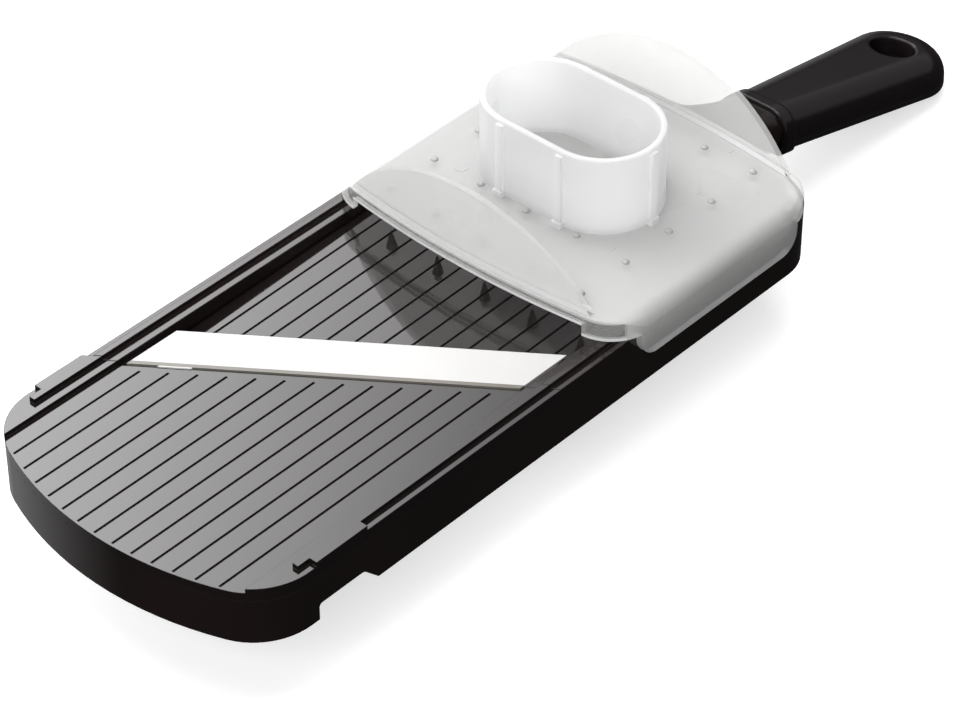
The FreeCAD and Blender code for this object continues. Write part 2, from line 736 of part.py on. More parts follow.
def rod(label, radius, half):
    """Round bar along X about its own middle."""
    body = new_body(label)
    item = sketch(body, label + "_section", "YZ_Plane")
    circle(item, 0, 0, radius)
    pad(body, item, 2 * half, both=True)
    return body


def snail_lobe():
    """Cam lobe whose radius grows evenly over three quarters of a turn, middle at X = 0."""
    low, high = D.cam_low.value, D.cam_high.value
    points = []
    for step in range(19):
        angle = math.radians(90 - 15 * step)
        radius = low + (high - low) * step / 18
        points.append(Vector(0, radius * math.cos(angle), radius * math.sin(angle)))
    curve = Part.BSplineCurve()
    curve.interpolate(points)
    wire = Part.Wire([curve.toShape(), Part.makeLine(points[-1], points[0])])
    lobe = Part.Face(wire).extrude(Vector(D.cam_width.value, 0, 0))
    lobe.translate(Vector(-D.cam_width.value / 2, 0, 0))
    return lobe


def make_cam_bar():
    """Shaft with a snail cam near each end."""
    length = 2 * D.bar_half.value
    solid = Part.makeCylinder(D.journal.value, length, Vector(-length / 2, 0, 0), Vector(1, 0, 0))
    for side in (-1, 1):
        lobe = snail_lobe()
        lobe.translate(Vector(side * D.cam_x.value, 0, 0))
        solid = solid.fuse(lobe)
    reach = 2 * D.dial_radius.value
    hole = Part.makeCylinder(D.dial_pin_radius.value, reach, Vector(0, -reach / 2, 0), Vector(0, 1, 0))
    node = doc.addObject("Part::Feature", "cam_bar")
    node.Label = "cam_bar"
    node.Shape = solid.cut(hole).removeSplitter()
    return put(node, D.cam_y, -D.cam_drop)


def make_dial():
    """Fluted finger roller pinned to the middle of the cam bar."""
    body = rod("thickness_dial", D.dial_radius, D.dial_width / 2)
    bore = sketch(body, "dial_bore", "YZ_Plane")
    circle(bore, 0, 0, D.journal)
    pocket(body, bore, D.dial_width + 1, both=True)
    flutes = sketch(body, "dial_flutes", "YZ_Plane")
    for number in range(12):
        angle = math.radians(30 * number + 15)
        circle(flutes, D.dial_radius * math.cos(angle), D.dial_radius * math.sin(angle), D.flute_radius)
    pocket(body, flutes, D.dial_width + 1, both=True)
    hole = sketch(body, "dial_pin_hole", "XZ_Plane")
    circle(hole, 0, 0, D.dial_pin_radius)
    pocket(body, hole, 3 * D.dial_radius, both=True)
    return put(body, D.cam_y, -D.cam_drop)


def make_dial_pin():
    """Cross pin through dial and bar, level with the bottom of the flutes."""
    node = doc.addObject("Part::Cylinder", "dial_pin")
    node.Label = "dial_pin"
    node.setExpression("Radius", D.dial_pin_radius.text)
    node.setExpression("Height", (2 * D.dial_radius - 1).text)
    put(node, D.cam_y + D.dial_radius - 0.5, -D.cam_drop, 90)
    return node


def screw(length):
    """Pan head screw, seat of the head at Z = 0, shank upwards."""
    head, rise, shank = D.screw_head.value, D.screw_head_height.value, D.screw_radius.value
    return turned([(0, -rise), (head - 0.5, -rise), (head, -rise + 0.6), (head, 0), (shank, 0),
                   (shank, length - 1), (0.4, length), (0, length)])


def make_deck_screws():
    places = []
    for x, y in deck_screw_points():
        places.append(Placement(Vector(x.value, y.value, -D.bridge_depth.value), Rotation()))
    length = D.bridge_depth.value - D.deck_thickness.value + 0.5
    return put(group("deck_screws", screw(length), places))


def handle_outline(item, lead):
    """Handle plan, begun a little ahead of its front: two tapering sides tangent to a round end."""
    neck, radius, centre = D.handle_neck.value, D.handle_end.value, D.handle_reach.value
    span = math.hypot(neck, centre + lead)
    angle = math.acos(radius / span) - math.atan2(centre + lead, neck)
    touch = Vector(radius * math.cos(angle), centre + radius * math.sin(angle), 0)
    other = Vector(-touch.x, touch.y, 0)
    start, stop = Vector(neck, -lead, 0), Vector(-neck, -lead, 0)
    right = item.addGeometry(Part.LineSegment(start, touch), False)
    end = item.addGeometry(Part.Arc(touch, Vector(0, centre + radius, 0), other), False)
    left = item.addGeometry(Part.LineSegment(other, stop), False)
    front = item.addGeometry(Part.LineSegment(stop, start), False)
    item.addConstraint(Sketcher.Constraint("Tangent", right, 2, end, end_at(item, end, touch)))
    item.addConstraint(Sketcher.Constraint("Tangent", left, 1, end, end_at(item, end, other)))
    item.addConstraint(Sketcher.Constraint("Coincident", left, 2, front, 1))
    item.addConstraint(Sketcher.Constraint("Coincident", front, 2, right, 1))
    fix(item, right, 1, D.handle_neck, -lead)
    fix(item, left, 2, -D.handle_neck, -lead)
    bind(item, Sketcher.Constraint("Radius", end, radius), D.handle_end)
    fix(item, end, 3, 0, D.handle_reach)


def handle_half(label, low, high, round_level, round_radius, taper):
    """One half of the handle between two levels, its outer edge rounded, with hole and tang slot."""
    body = new_body(label)
    plan = sketch(body, label + "_plan", "XY_Plane", low)
    handle_outline(plan, 2)
    block = pad(body, plan, high - low)
    block.TaperAngle = -taper.value
    block.setExpression("TaperAngle", (-taper).text)
    doc.recompute()
    soften(body, label + "_edge", "Fillet", round_radius, lambda p: near(p.z, round_level) and p.y > 0.1)
    front = sketch(body, label + "_front", "XY_Plane", high + 1)
    outline(front, box(-20, 20, -5, 0))
    pocket(body, front, high - low + 2)
    hole = sketch(body, label + "_hole", "XY_Plane", high + 1)
    circle(hole, 0, D.hang_y, D.hang_radius)
    pocket(body, hole, high - low + 2)
    far = D.hang_y.value

    def hole_edge(point):
        radius = math.hypot(point.x, point.y - far)
        return near(point.z, round_level) and near(radius, D.hang_radius)

    soften(body, label + "_hole_edge", "Fillet", D.hang_round, hole_edge)
    slot = sketch(body, label + "_slot", "XZ_Plane")
    half, side = D.tang_thickness / 2 + D.tang_gap, D.tang_half + D.tang_gap
    outline(slot, box(-side, side, -half, half))
    pocket(body, slot, D.tang_length + 1)
    return body


def make_handle_upper():
    top = D.handle_top
    body = handle_half("handle_upper", -D.handle_split, top, top, D.handle_round, D.handle_taper)
    pilots = sketch(body, "upper_pilots", "XY_Plane", D.tang_thickness / 2)
    for along in (D.handle_screw_front, D.handle_screw_rear):
        circle(pilots, 0, along, D.screw_radius)
    pocket(body, pilots, 2, reverse=True)
    return put(body, D.handle_y, -D.handle_drop, -D.handle_droop)


def make_handle_lower():
    low = -D.handle_bottom
    body = handle_half("handle_lower", low, -D.handle_split, low, D.handle_under_round, size(0))
    sinks = sketch(body, "head_sinks", "XY_Plane", -D.handle_bottom)
    holes = sketch(body, "lower_holes", "XY_Plane", -D.handle_bottom)
    for along in (D.handle_screw_front, D.handle_screw_rear):
        circle(sinks, 0, along, D.screw_head + 0.2)
        circle(holes, 0, along, D.screw_radius + 0.15)
    pocket(body, sinks, D.screw_head_height + 0.2, reverse=True)
    pocket(body, holes, D.handle_bottom, reverse=True)
    return put(body, D.handle_y, -D.handle_drop, -D.handle_droop)


def make_handle_collar():
    """Ring that stands proud between the neck and the handle."""
    body = new_body("handle_collar")
    item = sketch(body, "collar_section", "XZ_Plane")
    proud = D.collar_proud
    low, high = -D.handle_bottom - 2 * proud, D.handle_top + proud
    soft_section(item, D.handle_neck + proud, low, high, D.handle_under_round, D.handle_round)
    pad(body, item, D.collar_length)
    slot = sketch(body, "collar_slot", "XZ_Plane")
    side, reach = D.tang_half + D.tang_gap, D.tang_thickness / 2 + D.tang_gap
    outline(slot, box(-side, side, -reach, reach))
    pocket(body, slot, D.collar_length + 1, reverse=True)
    return put(body, D.handle_y, -D.handle_drop, -D.handle_droop)


def make_handle_screws():
    seat = -D.handle_bottom.value + D.screw_head_height.value + 0.2
    places = []
    for along in (D.handle_screw_front, D.handle_screw_rear):
        places.append(Placement(Vector(0, along.value, seat), Rotation()))
    node = group("handle_screws", screw(D.tang_thickness.value / 2 + 1.5 - seat), places)
    return put(node, D.handle_y, -D.handle_drop, -D.handle_droop)


def guard_plan(inset):
    ends = []
    for facing in (-1, 1):
        apex = facing * D.guard_reach
        ends += bowed_end(D.guard_half, apex, D.guard_bow, D.guard_corner, size(inset), facing)
    return ends


def add_rim(body):
    """Skirts that hang beside the body, corner feet that ride on the ridges, low rim between them."""
    under = D.guard_top - D.guard_plate
    rim = sketch(body, "guard_rim", "XY_Plane", -D.skirt_drop)
    outline(rim, guard_plan(0))
    outline(rim, guard_plan(D.guard_wall))
    pad(body, rim, D.skirt_drop + under)
    bands = sketch(body, "rim_bands", "XZ_Plane")
    outline(bands, box(-D.band_half, D.band_half, -D.skirt_drop - 1, D.band_rise))
    pocket(body, bands, 3 * D.guard_reach, both=True)
    feet = sketch(body, "rim_feet", "YZ_Plane")
    far = D.guard_reach + 5
    for y0, y1 in ((-far, -D.skirt_half), (D.skirt_half, far)):
        outline(feet, box(y0, y1, -D.skirt_drop - 1, D.tab_rise))
    pocket(body, feet, 3 * D.guard_half, both=True)

    def lower_corner(point):
        return near(abs(point.y), D.skirt_half) and near(point.z, -D.skirt_drop)

    soften(body, "skirt_corners", "Fillet", 6, lower_corner)


def roll_sides(body):
    """Roll the long sides over from the plate into the skirts, inside and outside."""
    fill = sketch(body, "side_fill", "XZ_Plane")
    side, level = D.guard_half - D.guard_wall, D.guard_top - D.guard_plate
    bend = D.guard_roll - D.guard_wall
    outline(fill, [(side, level - bend), (side, level), (side - bend, level, "bow", -bend)])
    outline(fill, [(-side, level), (-side, level - bend, "bow", -bend), (bend - side, level)])
    pad(body, fill, 2 * D.skirt_half - 5, both=True)
    roll = sketch(body, "side_roll", "XZ_Plane")
    half, top, bend = D.guard_half, D.guard_top, D.guard_roll
    right = [(half, top - bend), (half + 1, top - bend), (half + 1, top + 1), (half - bend, top + 1)]
    outline(roll, right + [(half - bend, top, "bow", -bend)])
    left = [(-half - 1, top - bend), (-half, top - bend, "bow", -bend), (bend - half, top)]
    outline(roll, left + [(bend - half, top + 1), (-half - 1, top + 1)])
    pocket(body, roll, 3 * D.guard_reach, both=True)


def add_fins(body):
    """Arched upright fins along the front and rear edges."""
    fins = sketch(body, "fin_plan", "XY_Plane", D.guard_top)
    rise = D.guard_top - D.arch_centre
    reach = root(D.arch_radius * D.arch_radius - rise * rise)
    outer = D.guard_bow - D.guard_edge
    inner = outer - D.guard_wall
    for facing in (-1, 1):
        centre = facing * (D.guard_reach - D.guard_bow)
        far = centre + facing * root(outer * outer - reach * reach)
        close = centre + facing * root(inner * inner - reach * reach)
        side = facing * reach
        corners = [(side, far, "bow", outer), (-side, far), (-side, close, "bow", -inner), (side, close)]
        outline(fins, corners)
    pad(body, fins, D.arch_radius - rise)
    arch = sketch(body, "fin_arch", "XZ_Plane")
    wide, high = reach + 10, D.guard_top + 40
    corners = [(wide, D.guard_top), (wide, high), (-wide, high), (-wide, D.guard_top)]
    outline(arch, corners + [(-reach, D.guard_top, "bow", -D.arch_radius), (reach, D.guard_top)])
    pocket(body, arch, 3 * D.guard_reach, both=True)


def pin_points():
    """Grid of holding pins, left out inside the cup and moved clear of its long sides."""
    beside = D.cup_radius + D.pin_head + 0.2
    points = []
    for column in range(-2, 3):
        for line in range(-2, 3):
            x, y = column * D.pin_pitch_x, line * D.pin_pitch_y
            if line == 0 and abs(column) < 2:
                continue
            if column == 0 and abs(line) == 1:
                y = line * beside
            points.append((x, y))
    return points


def tongue_boxes(gap):
    """Snap tongues under the long sides of the cup."""
    boxes = []
    middle = D.cup_radius - D.cup_wall / 2
    half = D.tongue_thickness / 2 + gap
    width = D.tongue_half + gap
    for side in (-1, 1):
        for x in (-D.cup_straight / 2, D.cup_straight / 2):
            boxes.append(box(x - width, x + width, side * middle - half, side * middle + half))
    return boxes


def make_guard_shell():
    body = new_body("guard_shell")
    plan = sketch(body, "guard_plate", "XY_Plane", D.guard_top - D.guard_plate)
    outline(plan, guard_plan(0))
    pad(body, plan, D.guard_plate)
    add_rim(body)
    soften(body, "guard_edge", "Fillet", D.guard_edge, lambda p: near(p.z, D.guard_top))
    roll_sides(body)
    add_fins(body)
    marks = sketch(body, "mould_marks", "XY_Plane", D.guard_top)
    for x, y in MOULD_MARKS:
        for side in (-1, 1):
            circle(marks, side * x, y, D.mark_radius)
    pad(body, marks, D.mark_rise)
    holes = sketch(body, "pin_holes", "XY_Plane", D.guard_top)
    for x, y in pin_points():
        circle(holes, x, y, D.pin_shank)
    pocket(body, holes, D.guard_plate + 0.5)
    slots = sketch(body, "tongue_slots", "XY_Plane", D.guard_top)
    for corners in tongue_boxes(0.1):
        outline(slots, corners)
    pocket(body, slots, D.guard_plate + 0.5)
    return put(body, D.guard_y)


def long_round(item, radius):
    """Two straight sides between two half circles."""
    half = D.cup_straight
    corners = []
    for side in (1, -1):
        corners += [(side * half, -side * radius, "bow", radius), (side * (half + radius), 0, "bow", radius)]
        corners += [(side * half, side * radius)]
    outline(item, corners)


def rib_boxes(proud, half):
    """Plan of the six upright ribs round the cup."""
    boxes = []
    inside = D.cup_radius - D.cup_wall / 2
    outside = D.cup_radius + proud
    for side in (-1, 1):
        near_y, far_y = sorted((side * inside, side * outside), key=lambda length: length.value)
        for x in (-D.cup_straight, D.cup_straight):
            boxes.append(box(x - half, x + half, near_y, far_y))
        ends = (side * (D.cup_straight + inside), side * (D.cup_straight + outside))
        near_x, far_x = sorted(ends, key=lambda length: length.value)
        boxes.append(box(near_x, far_x, -half, half))
    return boxes


def make_grip_cup():
    """Long round cup that takes the palm, held to the guard by snap tongues."""
    body = new_body("grip_cup")
    wall = sketch(body, "cup_wall", "XY_Plane", D.guard_top)
    long_round(wall, D.cup_radius)
    long_round(wall, D.cup_radius - D.cup_wall)
    pad(body, wall, D.cup_height)
    ribs = sketch(body, "cup_ribs", "XY_Plane", D.guard_top)
    feet = sketch(body, "cup_feet", "XY_Plane", D.guard_top)
    for corners in rib_boxes(D.cup_rib, D.cup_rib_half):
        outline(ribs, corners)
    for corners in rib_boxes(D.cup_rib + 0.7, D.cup_rib_half + 0.5):
        outline(feet, corners)
    pad(body, ribs, D.cup_height - 1)
    pad(body, feet, 1.5)
    tongues = sketch(body, "cup_tongues", "XY_Plane", D.guard_top)
    for corners in tongue_boxes(0):
        outline(tongues, corners)
    pad(body, tongues, D.guard_plate + 0.4, reverse=True)
    rim = D.guard_top + D.cup_height
    soften(body, "cup_lip", "Fillet", D.cup_lip, lambda p: near(p.z, rim))
    return put(body, D.guard_y)


def make_holding_pins():
    """Pointed pins pressed through the guard plate."""
    top, under = D.guard_top.value, D.guard_top.value - D.guard_plate.value
    shank, head, base, tip = D.pin_shank.value, D.pin_head.value, D.pin_base.value, D.pin_tip.value
    pin = turned([(0, tip), (0.25, tip), (base, under), (shank, under), (shank, top), (head, top),
                  (0.87 * head, top + 0.35), (0.5 * head, top + 0.6), (0, top + 0.7)])
    places = [Placement(Vector(x.value, y.value, 0), Rotation()) for x, y in pin_points()]
    return put(group("holding_pins", pin, places), D.guard_y)


def make_all():
    hinge_pin = rod("hinge_pin", D.hinge_pin_radius, D.hinge_pin_half)
    return [
        make_chassis(),
        make_front_deck(),
        make_blade(),
        make_deck_screws(),
        make_infeed_plate(),
        put(hinge_pin, D.hinge_y, -D.hinge_drop),
        make_cam_bar(),
        make_dial(),
        make_dial_pin(),
        make_handle_upper(),
        make_handle_lower(),
        make_handle_collar(),
        make_handle_screws(),
        make_guard_shell(),
        make_grip_cup(),
        make_holding_pins(),
    ]


nodes = make_all()
doc.recompute()
for item in doc.Objects:
    if "Invalid" in item.State or "Error" in item.State:
        raise ValueError(item.Name)
os.makedirs("parts", exist_ok=True)
for node in nodes:
    if node.Shape.isNull() or not node.Shape.isValid():
        raise ValueError(node.Label)
    node.Shape.exportStep("parts/%s.step" % node.Label)
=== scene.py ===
import bpy
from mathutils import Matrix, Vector

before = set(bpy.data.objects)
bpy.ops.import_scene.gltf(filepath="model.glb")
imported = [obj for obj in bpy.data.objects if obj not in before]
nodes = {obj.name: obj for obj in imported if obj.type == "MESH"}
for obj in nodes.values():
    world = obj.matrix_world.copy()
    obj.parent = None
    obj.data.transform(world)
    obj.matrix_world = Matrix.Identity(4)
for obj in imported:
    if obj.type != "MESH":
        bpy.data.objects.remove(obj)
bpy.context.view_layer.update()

scene = bpy.context.scene

MM = 0.001

# Camera, from the vanishing lines of the deck grooves and their even spacing
CAMERA_PLACE = Vector((0.47816, -0.55620, 0.59060))
CAMERA_AIM = Vector((0.02334, -0.05116, 0.03434))
CAMERA_LENS = 136.97
CAMERA_SENSOR = 36.0

# Points that the lights face: the middle of the tool, and just over the rear end of its body
TOOL_MIDDLE = Vector((0.0, 0.0, 30 * MM))
OVER_REAR = Vector((0.0, 60 * MM, 50 * MM))

# The floor lies just below the underside of the body
FLOOR_WIDTH = 16.0
FLOOR_LEVEL = -0.2 * MM

# Level direction square to the blade's near edge, and the middle and half width of a band along it painted in
# the darker tone of the shaded near edge face, as painted shade
BLADE_ACROSS = Vector((-0.735, 1.0, 0.0)).normalized()
BLADE_SHADE_BAND = -66.0 * MM
BLADE_SHADE_HALF = 0.65 * MM

# Heights on the guard: just above its plate, then the middles of a fin's foot, where a darker strip is
# painted as painted shade, of the lower edge of the low rim between the corners and of the lower edge of a
# corner foot, where bright lines are painted as painted highlights
GUARD_TOP = 42.9 * MM
FIN_FOOT = 43.5 * MM
RIM_EDGE = 40.5 * MM
CORNER_EDGE = 37.5 * MM
# Half of the height that the eye sees of them, and half the length of the low rim
FIN_FOOT_HALF = 0.8 * MM
EDGE_HALF = 0.45 * MM
RIM_HALF = 37.5 * MM
# Least part of a face's normal along the body that makes it an end face
END_FACING = 0.5

# Range that holds nearly all values of a noise texture
NOISE_LOW = 0.3
NOISE_HIGH = 0.7

# Sockets of a colour Mix node, whose names repeat
MIX_FACTOR = 0
MIX_FIRST = 6
MIX_SECOND = 7
MIX_RESULT = 2


def colour(text):
    """Linear RGBA of an sRGB hex colour."""
    shares = [int(text[i:i + 2], 16) / 255 for i in (1, 3, 5)]
    linear = [s / 12.92 if s <= 0.04045 else ((s + 0.055) / 1.055) ** 2.4 for s in shares]
    return (*linear, 1.0)


def per_metre(size_mm):
    """Texture scale that makes one feature this many millimetres wide."""
    return 1 / (size_mm * MM)


def add(tree, kind, inputs=None, **settings):
    """Adds a node with its settings. An input takes a value, a socket, or a node for its first output."""
    node = tree.nodes.new("ShaderNode" + kind)
    for name, value in settings.items():
        setattr(node, name, value)
    for name, value in (inputs or {}).items():
        if isinstance(value, bpy.types.Node):
            value = value.outputs[0]
        if isinstance(value, bpy.types.NodeSocket):
            tree.links.new(value, node.inputs[name])
        else:
            node.inputs[name].default_value = value
    return node


def new_tree(name):
    """A material and its node tree, emptied."""
    material = bpy.data.materials.new(name)
    material.use_nodes = True
    material.node_tree.nodes.clear()
    return material, material.node_tree


def formed_surface(tree, edge_mm, wave_mm, wave_depth_mm, grain_mm, grain_depth_mm):
    """Place and normal on a face from a mould or die: edges softened by its radius, slow sink waves and its
    grain. The real grain, some hundredths of a millimetre, is too fine to show and is drawn coarser."""
    place = add(tree, "TexCoord").outputs["Object"]
    wave = add(tree, "TexNoise", {"Vector": place, "Scale": per_metre(wave_mm), "Detail": 1.0})
    grain = add(tree, "TexNoise", {"Vector": place, "Scale": per_metre(grain_mm), "Detail": 2.0})
    soft_edge = add(tree, "Bevel", {"Radius": edge_mm * MM}, samples=6)
    waved = add(tree, "Bump", {
        "Height": wave.outputs["Fac"],
        "Distance": wave_depth_mm * MM,
        "Normal": soft_edge,
    })
    grained = add(tree, "Bump", {
        "Height": grain.outputs["Fac"],
        "Distance": grain_depth_mm * MM,
        "Normal": waved,
    })
    return place, grained


def mottle(tree, place, patch_mm, low, high):
    """A value that drifts between low and high over patches of this size, as flow and handling leave it."""
    noise = add(tree, "TexNoise", {"Vector": place, "Scale": per_metre(patch_mm), "Detail": 1.0})
    return add(tree, "MapRange", {
        "Value": noise.outputs["Fac"],
        "From Min": NOISE_LOW,
        "From Max": NOISE_HIGH,
        "To Min": low,
        "To Max": high,
    })


def two_tone(tree, place, patch_mm, first, second):
    """A colour that drifts between two near tones over patches of this size."""
    share = mottle(tree, place, patch_mm, 0.0, 1.0)
    tones = {MIX_FACTOR: share, MIX_FIRST: colour(first), MIX_SECOND: colour(second)}
    return add(tree, "Mix", tones, data_type="RGBA").outputs[MIX_RESULT]


def moulded_abs(name, tones, roughness, edge_mm):
    """Black ABS from a polished mould: near-black with a warm cast, faint sink waves and a mirror gloss, or a
    satin shine where the mould was left duller."""
    material, tree = new_tree(name)
    place, normal = formed_surface(
        tree, edge_mm, wave_mm=22, wave_depth_mm=0.008, grain_mm=1.4, grain_depth_mm=0.0002
    )
    surface = add(tree, "BsdfPrincipled", {
        "Base Color": two_tone(tree, place, 30, *tones),
        "Roughness": mottle(tree, place, 12, *roughness),
        "IOR": 1.53,
        "Normal": normal,
    })
    add(tree, "OutputMaterial", {"Surface": surface})
    return material


def guard_clearness(tree, place, clear, thin_and_shaded_clear, painted_light_and_shade_clear):
    """Share of the guard's surface that is seen through: larger in its low end walls, and larger at the rims
    of its fins as painted shade over their lit tops; small at a lower edge, a painted bright line where light
    would run along a wall, and small at the foot of a fin, a painted darker strip of shade."""
    at = add(tree, "SeparateXYZ", {"Vector": place}).outputs
    facing = add(tree, "SeparateXYZ", {"Vector": add(tree, "TexCoord").outputs["Normal"]}).outputs["Y"]
    endwise = add(tree, "Math", {0: facing}, operation="ABSOLUTE")
    is_end = add(tree, "Math", {0: endwise, 1: END_FACING}, operation="GREATER_THAN")
    is_fin = add(tree, "Math", {0: at["Z"], 1: GUARD_TOP}, operation="GREATER_THAN")
    # A rim is part of a fin but doesn't look along the body, and an end wall does but lies below the fins
    thinner = add(tree, "Math", {0: is_fin, 1: is_end}, operation="SUBTRACT")
    is_thin = add(tree, "Math", {0: thinner}, operation="ABSOLUTE")
    # The rims' larger see-through share paints shade over their lit tops
    share = add(tree, "MapRange", {"Value": is_thin, "To Min": clear, "To Max": thin_and_shaded_clear})
    # A lower edge is on the outside of an end wall, and not on its inner face where that is met from within
    from_inside = add(tree, "NewGeometry").outputs["Backfacing"]
    is_outside = add(tree, "Math", {0: is_end, 1: from_inside}, operation="GREATER_THAN")
    is_rim = add(tree, "Math", {0: at["X"], 1: 0.0, 2: RIM_HALF}, operation="COMPARE")
    level = add(tree, "MapRange", {"Value": is_rim, "To Min": CORNER_EDGE, "To Max": RIM_EDGE})
    is_low = add(tree, "Math", {0: at["Z"], 1: level, 2: EDGE_HALF}, operation="COMPARE")
    # Lower edges and fin feet are made nearly opaque: a painted bright line along each lower edge and a
    # painted darker strip of shade at each fin foot
    painted_bright_edge = add(tree, "Math", {0: is_low, 1: is_outside}, operation="MULTIPLY")
    is_foot = add(tree, "Math", {0: at["Z"], 1: FIN_FOOT, 2: FIN_FOOT_HALF}, operation="COMPARE")
    painted_shade_foot = add(tree, "Math", {0: is_foot, 1: is_end}, operation="MULTIPLY")
    painted_light_and_shade = add(tree, "Math", {0: painted_bright_edge, 1: painted_shade_foot}, operation="MAXIMUM")
    return add(tree, "MapRange", {"Value": painted_light_and_shade, "To Min": share, "To Max": painted_light_and_shade_clear})


def frosted_polypropylene(name, tones, clear, glow, roughness, is_guard=False):
    """Natural polypropylene from a sandblasted mould: milky, lets soft light and a veiled view through, and
    has a satin shine."""
    material, tree = new_tree(name)
    place, normal = formed_surface(
        tree, edge_mm=0.15, wave_mm=30, wave_depth_mm=0.008, grain_mm=0.5, grain_depth_mm=0.001
    )
    tint = two_tone(tree, place, 40, *tones)
    surface = add(tree, "BsdfPrincipled", {
        "Base Color": tint,
        "Roughness": mottle(tree, place, 20, *roughness),
        "IOR": 1.49,
        "Normal": normal,
    })
    milk = add(tree, "BsdfTranslucent", {"Color": tint, "Normal": normal})
    milky = add(tree, "MixShader", {0: glow, 1: surface, 2: milk})
    share = clear
    if is_guard:
        # For the guard the see-through share carries painted shade at fin rims and feet and painted bright
        # lines at lower edges
        share = guard_clearness(tree, place, clear, thin_and_shaded_clear=0.82, painted_light_and_shade_clear=0.04)
    through = add(tree, "BsdfTransparent", {"Color": colour("#fbfbfa")})
    veiled = add(tree, "MixShader", {0: share, 1: milky, 2: through})
    add(tree, "OutputMaterial", {"Surface": veiled})
    return material


def ground_zirconia(name):
    """Sintered zirconia, lapped on top: dense white, with a grey-beige band of painted shade along its near
    edge, the tone of the shaded edge face.
    """
    material, tree = new_tree(name)
    place, normal = formed_surface(
        tree, edge_mm=0.08, wave_mm=14, wave_depth_mm=0.004, grain_mm=0.35, grain_depth_mm=0.0006
    )
    across = add(tree, "VectorMath", {0: place, 1: BLADE_ACROSS}, operation="DOT_PRODUCT").outputs["Value"]
    painted_shade_band = add(tree, "Math", {0: across, 1: BLADE_SHADE_BAND, 2: BLADE_SHADE_HALF}, operation="COMPARE")
    lapped = two_tone(tree, place, 20, "#bdbcbb", "#c1c0bf")
    # The band's tone is painted shade: the near edge face as it looks in shade
    tones = {MIX_FACTOR: painted_shade_band, MIX_FIRST: lapped, MIX_SECOND: colour("#6f6b65")}
    surface = add(tree, "BsdfPrincipled", {
        "Base Color": add(tree, "Mix", tones, data_type="RGBA").outputs[MIX_RESULT],
        "Roughness": mottle(tree, place, 9, 0.16, 0.24),
        "IOR": 2.0,
        "Specular IOR Level": 0.12,
        "Subsurface Weight": 0.1,
        "Subsurface Scale": 0.4 * MM,
        "Normal": normal,
    })
    add(tree, "OutputMaterial", {"Surface": surface})
    return material


def bright_steel(name):
    """Cold-drawn and headed stainless steel: bright metal, with a fine grain from the dies."""
    material, tree = new_tree(name)
    place, normal = formed_surface(
        tree, edge_mm=0.08, wave_mm=6, wave_depth_mm=0.002, grain_mm=0.3, grain_depth_mm=0.002
    )
    surface = add(tree, "BsdfPrincipled", {
        "Base Color": two_tone(tree, place, 6, "#b4b5b7", "#c6c7c8"),
        "Metallic": 1.0,
        "Roughness": mottle(tree, place, 2.5, 0.22, 0.36),
        "Normal": normal,
    })
    add(tree, "OutputMaterial", {"Surface": surface})
    return material


def dress():
    """Gives every solid the material of the real piece."""
    body = moulded_abs("gloss_abs_body", ("#1a1313", "#1d1515"), roughness=(0.10, 0.14), edge_mm=0.35)
    plate = moulded_abs("gloss_abs_plate", ("#171212", "#1a1414"), roughness=(0.05, 0.09), edge_mm=0.20)
    handle = moulded_abs("gloss_abs_handle", ("#171214", "#1a1517"), roughness=(0.04, 0.06), edge_mm=1.4)
    inner = moulded_abs("satin_abs_inner", ("#151313", "#1b1818"), roughness=(0.28, 0.40), edge_mm=0.25)
    guard = frosted_polypropylene(
        "frosted_polypropylene_guard", ("#f5f5f5", "#f6f6f6"),
        clear=0.54, glow=0.34, roughness=(0.27, 0.30), is_guard=True
    )
    # The pins get a greyer, more opaque copy of the guard's plastic: painted shade for the dark spots about
    # their domes
    shade_grey_pins = frosted_polypropylene(
        "frosted_polypropylene_pins_painted_shade", ("#bdbdbc", "#c3c3c2"),
        clear=0.20, glow=0.20, roughness=(0.16, 0.20)
    )
    cup = frosted_polypropylene(
        "frosted_polypropylene_cup", ("#f5f5f6", "#f6f6f7"),
        clear=0.32, glow=0.50, roughness=(0.27, 0.30)
    )
    blade = ground_zirconia("ground_zirconia_blade")
    steel = bright_steel("stainless_steel_drawn")
    worn_by = {
        body: ("chassis",),
        plate: ("front_deck", "infeed_plate"),
        handle: ("handle_upper", "handle_lower", "handle_collar"),
        inner: ("cam_bar", "thickness_dial"),
        guard: ("guard_shell",),
        shade_grey_pins: ("holding_pins",),
        cup: ("grip_cup",),
        blade: ("blade",),
        steel: ("hinge_pin", "dial_pin", "deck_screws", "handle_screws"),
    }
    for material, names in worn_by.items():
        for name in names:
            nodes[name].material_slots[0].material = material


def stage_sheet(name, width, length, material):
    """A flat rectangle of the studio, about its own middle."""
    x, y = width / 2, length / 2
    mesh = bpy.data.meshes.new(name)
    mesh.from_pydata([(-x, -y, 0), (x, -y, 0), (x, y, 0), (-x, y, 0)], [], [(0, 1, 2, 3)])
    mesh.materials.append(material)
    sheet = bpy.data.objects.new(name, mesh)
    scene.collection.objects.link(sheet)
    return sheet


def lay_floor():
    """A plain pale paper floor, left out of reflections and bounced light, so that the walls stay black."""
    material, tree = new_tree("pale_paper_floor")
    paper = add(tree, "BsdfPrincipled", {
        "Base Color": colour("#c4c4c4"),
        "Roughness": 0.9,
        "Emission Color": colour("#ffffff"),
        "Emission Strength": 0.62,
    })
    add(tree, "OutputMaterial", {"Surface": paper})
    floor = stage_sheet("floor", FLOOR_WIDTH, FLOOR_WIDTH, material)
    floor.location.z = FLOOR_LEVEL
    floor.visible_glossy = False
    floor.visible_diffuse = False


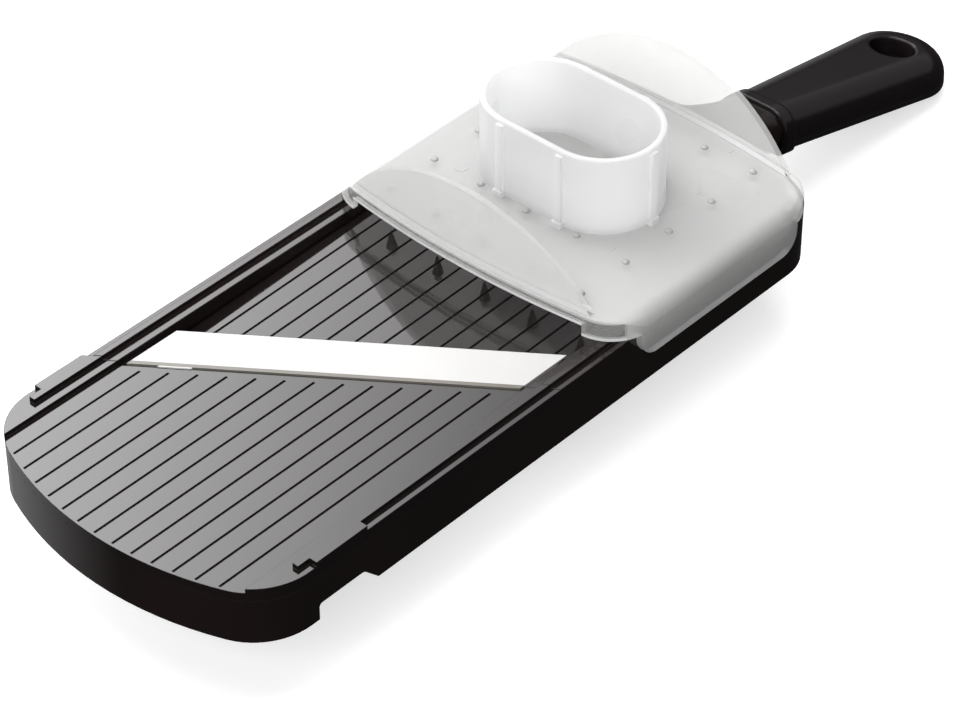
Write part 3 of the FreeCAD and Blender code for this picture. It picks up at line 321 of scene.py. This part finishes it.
def panel(name, seen_by, about, towards, distance, width, height, radiance, fade=None):
    """A soft light panel that faces a point, seen by matt surfaces, by mirrored rays or by both. With a fade,
    its radiance rises from nothing to full between two places along its width, in metres from its middle."""
    material, tree = new_tree(name + "_glow")
    strength = radiance
    if fade:
        place = add(tree, "TexCoord").outputs["Object"]
        strength = add(tree, "MapRange", {
            "Value": add(tree, "SeparateXYZ", {"Vector": place}).outputs["X"],
            "From Min": fade[0],
            "From Max": fade[1],
            "To Max": radiance,
        })
    glow = add(tree, "Emission", {"Strength": strength})
    add(tree, "OutputMaterial", {"Surface": glow})
    lamp = stage_sheet(name, width, height, material)
    lamp.location = about + towards.normalized() * distance
    lamp.rotation_euler = (-towards).to_track_quat("-Z", "Y").to_euler()
    lamp.visible_camera = False
    lamp.visible_glossy = seen_by != "matt"
    lamp.visible_diffuse = seen_by != "mirrored"
    lamp.visible_transmission = seen_by != "mirrored"


def hang_panels():
    """One panel that the deck mirrors towards the camera, one from the left and one from the front for the
    matt surfaces, and a wide one overhead."""
    seen = CAMERA_PLACE - CAMERA_AIM
    panel(
        "deck_panel", "mirrored", TOOL_MIDDLE, Vector((-seen.x, -seen.y, seen.z)),
        distance=2.2, width=1.3, height=0.95, radiance=7.6, fade=(-0.175, 0.43)
    )
    panel(
        "side_panel", "matt", OVER_REAR, Vector((-0.8, -0.1, 0.5)),
        distance=0.8, width=0.5, height=0.5, radiance=6.8
    )
    panel(
        "front_panel", "matt", OVER_REAR, Vector((0.32, -0.8, 0.5)),
        distance=1.6, width=1.0, height=1.0, radiance=6.0
    )
    panel(
        "overhead_panel", "both", TOOL_MIDDLE, Vector((-0.18, 0.08, 1.0)),
        distance=2.6, width=2.4, height=2.4, radiance=3.7
    )


def dim_room():
    """A room that is dark up to the horizon, dim above it and brighter far to the left. The camera itself
    sees white."""
    world = bpy.data.worlds.new("studio")
    scene.world = world
    world.use_nodes = True
    tree = world.node_tree
    tree.nodes.clear()
    way = add(tree, "SeparateXYZ", {"Vector": add(tree, "TexCoord").outputs["Generated"]}).outputs
    above = add(tree, "MapRange", {
        "Value": way["Z"],
        "From Min": 0.16,
        "From Max": 0.36,
        "To Min": 0.03,
        "To Max": 0.27,
    }, interpolation_type="SMOOTHSTEP")
    left = add(tree, "MapRange", {
        "Value": way["X"],
        "From Min": -0.4,
        "From Max": -0.9,
        "To Max": 0.55,
    }, interpolation_type="SMOOTHSTEP")
    brighter = add(tree, "Math", {0: above, 1: left}, operation="MAXIMUM")
    room = add(tree, "Background", {"Color": colour("#ffffff"), "Strength": brighter})
    backdrop = add(tree, "Background", {"Color": colour("#ffffff")})
    by_eye = add(tree, "LightPath").outputs["Is Camera Ray"]
    seen = add(tree, "MixShader", {0: by_eye, 1: room, 2: backdrop})
    add(tree, "OutputWorld", {"Surface": seen})


def set_camera():
    """The photograph's view."""
    data = bpy.data.cameras.new("camera")
    data.lens = CAMERA_LENS
    data.sensor_width = CAMERA_SENSOR
    data.sensor_fit = "HORIZONTAL"
    camera = bpy.data.objects.new("camera", data)
    camera.location = CAMERA_PLACE
    camera.rotation_euler = (CAMERA_AIM - CAMERA_PLACE).to_track_quat("-Z", "Y").to_euler()
    scene.collection.objects.link(camera)
    scene.camera = camera


# Tones as they are lit, with no film curve
scene.view_settings.view_transform = "Standard"
dress()
lay_floor()
hang_panels()
dim_room()
set_camera()
